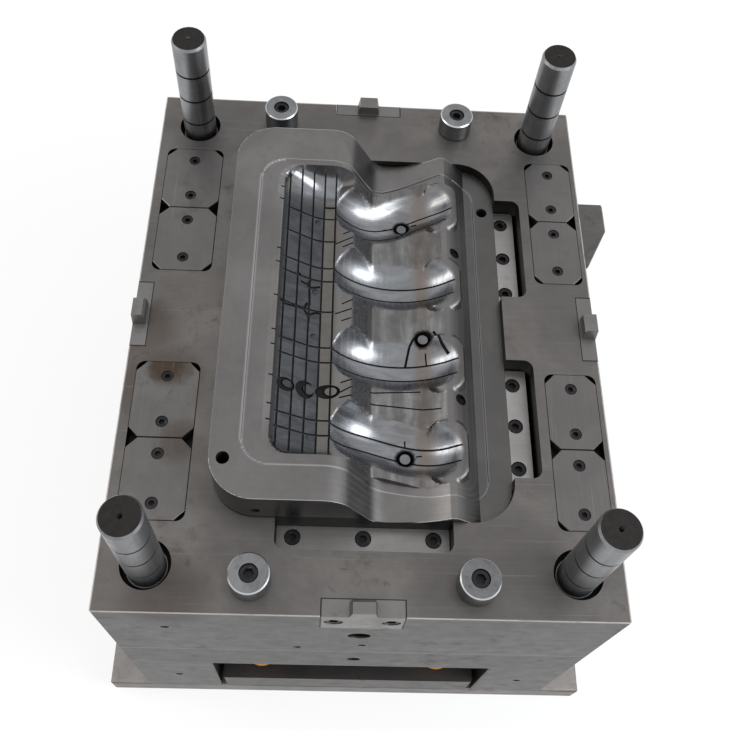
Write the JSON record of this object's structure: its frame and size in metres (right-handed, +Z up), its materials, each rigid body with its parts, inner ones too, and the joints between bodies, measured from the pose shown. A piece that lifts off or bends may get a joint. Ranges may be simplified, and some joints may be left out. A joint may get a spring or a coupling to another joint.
{
  "type": "injection mould half",
  "caption": "Moving half of a plastic injection mould: core insert with trough and runner channels, guide pillars, wear plates, side locks and a sprung ejector set.",
  "frame": {"origin": "centre of the clamp plate's underside", "axes": "+X across the mould towards the side block, +Y along it, +Z up out of the parting face"},
  "size_m": [0.66, 0.686, 0.636],
  "materials": {
    "plate_steel": "ground",
    "insert_steel": "polished",
    "wear_steel": "ground",
    "block_steel": "ground",
    "ground_steel": "cylindrically ground",
    "black_oxide": "black oxide",
    "spring_paint": "painted"
  },
  "bodies": {
    "root": {"clamp_plate": "plate_steel", "spacer_block_left": "plate_steel", "spacer_block_right": "plate_steel", "support_plate": "plate_steel", "moving_plate": "plate_steel", "core_insert": "insert_steel", "guide_pillar_back_left": "ground_steel", "guide_pillar_back_right": "ground_steel", "guide_pillar_front_left": "ground_steel", "guide_pillar_front_right": "ground_steel", "wear_plate_left_front_1": "wear_steel", "wear_plate_left_front_2": "wear_steel", "wear_plate_left_back_1": "wear_steel", "wear_plate_left_back_2": "wear_steel", "wear_plate_right_front_1": "wear_steel", "wear_plate_right_front_2": "wear_steel", "wear_plate_right_back_1": "wear_steel", "wear_plate_right_back_2": "wear_steel", "side_lock_front": "block_steel", "side_lock_back": "block_steel", "side_lock_left": "block_steel", "side_lock_right": "block_steel", "wedge_block_front": "block_steel", "wedge_block_right_front": "block_steel", "wedge_block_right_back": "block_steel", "side_block": "block_steel", "support_pillars": "plate_steel", "stop_buttons": "plate_steel", "ejector_guide_pins": "ground_steel", "core_pins": "ground_steel", "core_pin_plugs": "black_oxide", "clamp_screws": "black_oxide", "support_pillar_screws": "black_oxide", "insert_screws": "black_oxide", "wear_plate_screws": "black_oxide", "side_lock_screws": "black_oxide", "wedge_block_screws": "black_oxide", "side_block_screws": "black_oxide", "return_spring_back_left": "spring_paint", "return_spring_back_right": "spring_paint", "return_spring_front_left": "spring_paint", "return_spring_front_right": "spring_paint"},
    "ejector_set": {"ejector_base_plate": "plate_steel", "ejector_retainer_plate": "plate_steel", "ejector_guide_bushes": "ground_steel", "return_pin_back_left": "ground_steel", "return_pin_back_right": "ground_steel", "return_pin_front_left": "ground_steel", "return_pin_front_right": "ground_steel", "return_pad_back_left": "ground_steel", "return_pad_back_right": "ground_steel", "return_pad_front_left": "ground_steel", "return_pad_front_right": "ground_steel", "return_pad_screws": "black_oxide", "sleeve_ejectors": "ground_steel", "ejector_pins": "ground_steel", "ejector_plate_screws": "black_oxide"}
  },
  "joints": [
    {"name": "ejector_stroke", "type": "slide", "parent": "root", "child": "ejector_set", "axis": [0, 0, 1], "range_m": [0, 0.06], "stiffness_N_per_m": 40000, "springref_m": -0.01, "deforming": ["return_spring_back_left", "return_spring_back_right", "return_spring_front_left", "return_spring_front_right"]}
  ]
}
